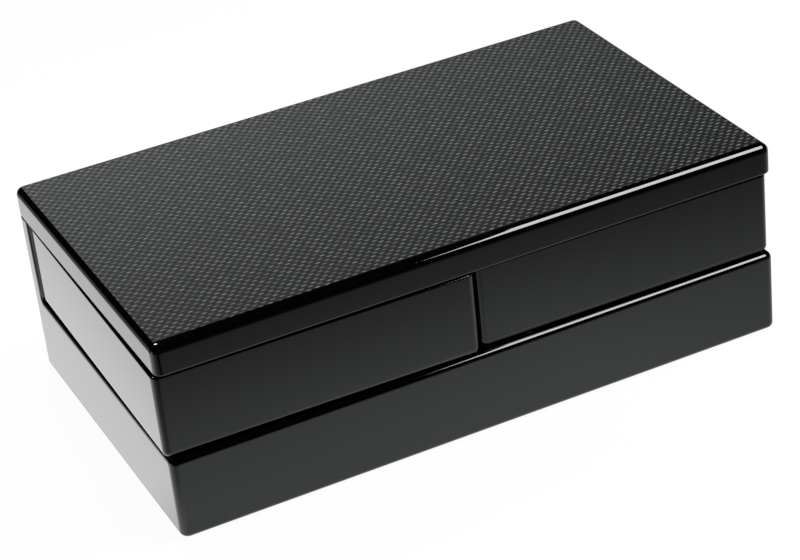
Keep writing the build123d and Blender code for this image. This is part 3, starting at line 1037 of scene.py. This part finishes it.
def floor_material():
    """Pale paper, white to the camera and shaped where the lacquer mirrors it.

    The lacquer's reflections are set here against the photograph: the glow in front of the
    box, and the brighter glow beside its left side. The paper gives matt surfaces no light
    of its own.
    """
    values = settings().stage
    recipe = Recipe("pale_floor")
    across, along = recipe.split(recipe.place())

    def product(first, *more):
        """Multiply several numbers."""
        for factor in more:
            first = recipe.math("MULTIPLY", first, factor)
        return first

    ahead = recipe.math("MAXIMUM", recipe.math("SUBTRACT", values.front_edge, along), 0.0)
    spread = recipe.math("POWER", recipe.math("DIVIDE", ahead, values.front_reach), 2.0)
    fade = recipe.math("EXPONENT", product(spread, -1.0))
    falls = [recipe.ramp(across, start, end, 1.0, share) for start, end, share in FRONT_FALLS]
    start, end, share = OUTER_RISE
    outer = recipe.ramp(along, start, end, 0.0, share)
    inner = recipe.ramp(across, *INNER_RISE)
    outer = product(outer, recipe.math("SUBTRACT", 1.0, inner))
    rise = recipe.math("ADD", inner, outer)
    front = product(fade, values.front_glow, *falls, rise)

    start, end, share = LEFT_FALL
    fall = recipe.ramp(across, start, end, share, 1.0)
    start, end, share = BACK_FALL
    back_fall = recipe.ramp(along, start, end, 1.0, share, smooth=False)
    start, end, share = FAR_DIM
    dim = recipe.ramp(across, start, end, share, 1.0)
    dim = recipe.mix(recipe.ramp(along, *FAR_DIM_START), (1, 1, 1), dim)
    left = product(values.left_glow, fall, back_fall, dim)

    blur_start = values.left_edge - LEFT_EDGE_BLUR
    beside = recipe.ramp(across, blur_start, values.left_edge, 1.0, 0.0)
    beside = product(beside, recipe.ramp(along, *LEFT_RISE))
    more = product(beside, recipe.math("SUBTRACT", left, front))
    mirrored = recipe.math("ADD", front, more)
    path = recipe.node("ShaderNodeLightPath")
    seen = recipe.math("MULTIPLY", path.outputs["Is Camera Ray"], values.camera_glow)
    tinted = recipe.math("SUBTRACT", path.outputs["Is Glossy Ray"], beside, clamp=True)
    recipe.set(
        Base_Color=values.paper,
        Specular_IOR_Level=0.0,
        Roughness=1.0,
        Emission_Color=recipe.mix(tinted, (1, 1, 1), MIRRORED_TINT),
        Emission_Strength=recipe.math(
            "MULTIPLY_ADD", path.outputs["Is Glossy Ray"], mirrored, seen
        ),
    )
    return recipe.material


def light_world():
    """Dim even room light, white to the camera and nearly black in reflections."""
    world = bpy.data.worlds.new("studio")
    world.use_nodes = True
    tree = world.node_tree
    background = tree.nodes["Background"]
    path = tree.nodes.new("ShaderNodeLightPath")
    level = tree.nodes.new("ShaderNodeMapRange")
    level.inputs["To Min"].default_value = ROOM_LIGHT
    level.inputs["To Max"].default_value = ROOM_SEEN
    dim = tree.nodes.new("ShaderNodeMath")
    dim.operation = "MULTIPLY_ADD"
    dim.inputs[1].default_value = ROOM_MIRRORED - ROOM_LIGHT
    tree.links.new(path.outputs["Is Camera Ray"], level.inputs["Value"])
    tree.links.new(path.outputs["Is Glossy Ray"], dim.inputs[0])
    tree.links.new(level.outputs["Result"], dim.inputs[2])
    tree.links.new(dim.outputs[0], background.inputs["Strength"])
    background.inputs["Color"].default_value = (1, 1, 1, 1)
    bpy.context.scene.world = world


class KEEPSAKE_OT_stage(bpy.types.Operator):
    """Set the pale floor, the soft lamps and the camera"""

    bl_idname = "keepsake.stage"
    bl_label = "Floor, lamps and camera"

    def execute(self, context):
        values = settings().stage
        deselect_all()
        bpy.ops.mesh.primitive_plane_add(size=values.floor_size)
        floor = context.object
        floor.name = "floor"
        floor.data.materials.append(floor_material())
        for name, words in SOFTBOXES.items():
            add_softbox(name, *words)
        add_camera(values)
        light_world()
        context.scene.view_settings.view_transform = "Standard"
        return {"FINISHED"}


class KeepsakeBoxSettings(bpy.types.PropertyGroup):
    """Everything about the box that can be set."""

    lacquer: bpy.props.PointerProperty(
        name="Lacquer", description="Lacquer of the bodies", type=KeepsakeLacquer
    )
    weave: bpy.props.PointerProperty(
        name="Weave", description="Carbon inlay of the lid", type=KeepsakeWeave
    )
    suede: bpy.props.PointerProperty(
        name="Suede", description="Linings, dividers and pads", type=KeepsakeSuede
    )
    metal: bpy.props.PointerProperty(
        name="Metal", description="Hinges, pivots and fittings", type=KeepsakeMetal
    )
    stage: bpy.props.PointerProperty(
        name="Stage", description="Floor, lamps and camera", type=KeepsakeStage
    )


OPERATORS = (
    KEEPSAKE_OT_lacquered_bodies,
    KEEPSAKE_OT_carbon_inlay,
    KEEPSAKE_OT_linings,
    KEEPSAKE_OT_base_floor_cushion,
    KEEPSAKE_OT_tray_floor_cushions,
    KEEPSAKE_OT_lid_cushion,
    KEEPSAKE_OT_underside,
    KEEPSAKE_OT_metal_fittings,
    KEEPSAKE_OT_soft_stops,
    KEEPSAKE_OT_stage,
)


class KEEPSAKE_PT_panel(bpy.types.Panel):
    """Panel that lists the box's pieces"""

    bl_idname = "KEEPSAKE_PT_panel"
    bl_label = "Keepsake Box"
    bl_space_type = "VIEW_3D"
    bl_region_type = "UI"
    bl_category = "Keepsake Box"

    def draw(self, context):
        for operator in OPERATORS:
            self.layout.operator(operator.bl_idname)


CLASSES = (
    KeepsakeLacquer,
    KeepsakeWeave,
    KeepsakeSuede,
    KeepsakeMetal,
    KeepsakeStage,
    KeepsakeBoxSettings,
    *OPERATORS,
    KEEPSAKE_PT_panel,
)


def register():
    for each in CLASSES:
        bpy.utils.register_class(each)
    bpy.types.Scene.keepsake_box = bpy.props.PointerProperty(
        name="Keepsake box", description="Settings of the keepsake box", type=KeepsakeBoxSettings
    )


def unregister():
    del bpy.types.Scene.keepsake_box
    for each in reversed(CLASSES):
        bpy.utils.unregister_class(each)


def main():
    """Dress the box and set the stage."""
    register()
    bpy.ops.keepsake.lacquered_bodies()
    bpy.ops.keepsake.carbon_inlay()
    bpy.ops.keepsake.linings()
    bpy.ops.keepsake.base_floor_cushion()
    bpy.ops.keepsake.tray_floor_cushions()
    bpy.ops.keepsake.lid_cushion()
    bpy.ops.keepsake.underside()
    bpy.ops.keepsake.metal_fittings()
    bpy.ops.keepsake.soft_stops()
    bpy.ops.keepsake.stage()


if __name__ == "__main__":
    main()
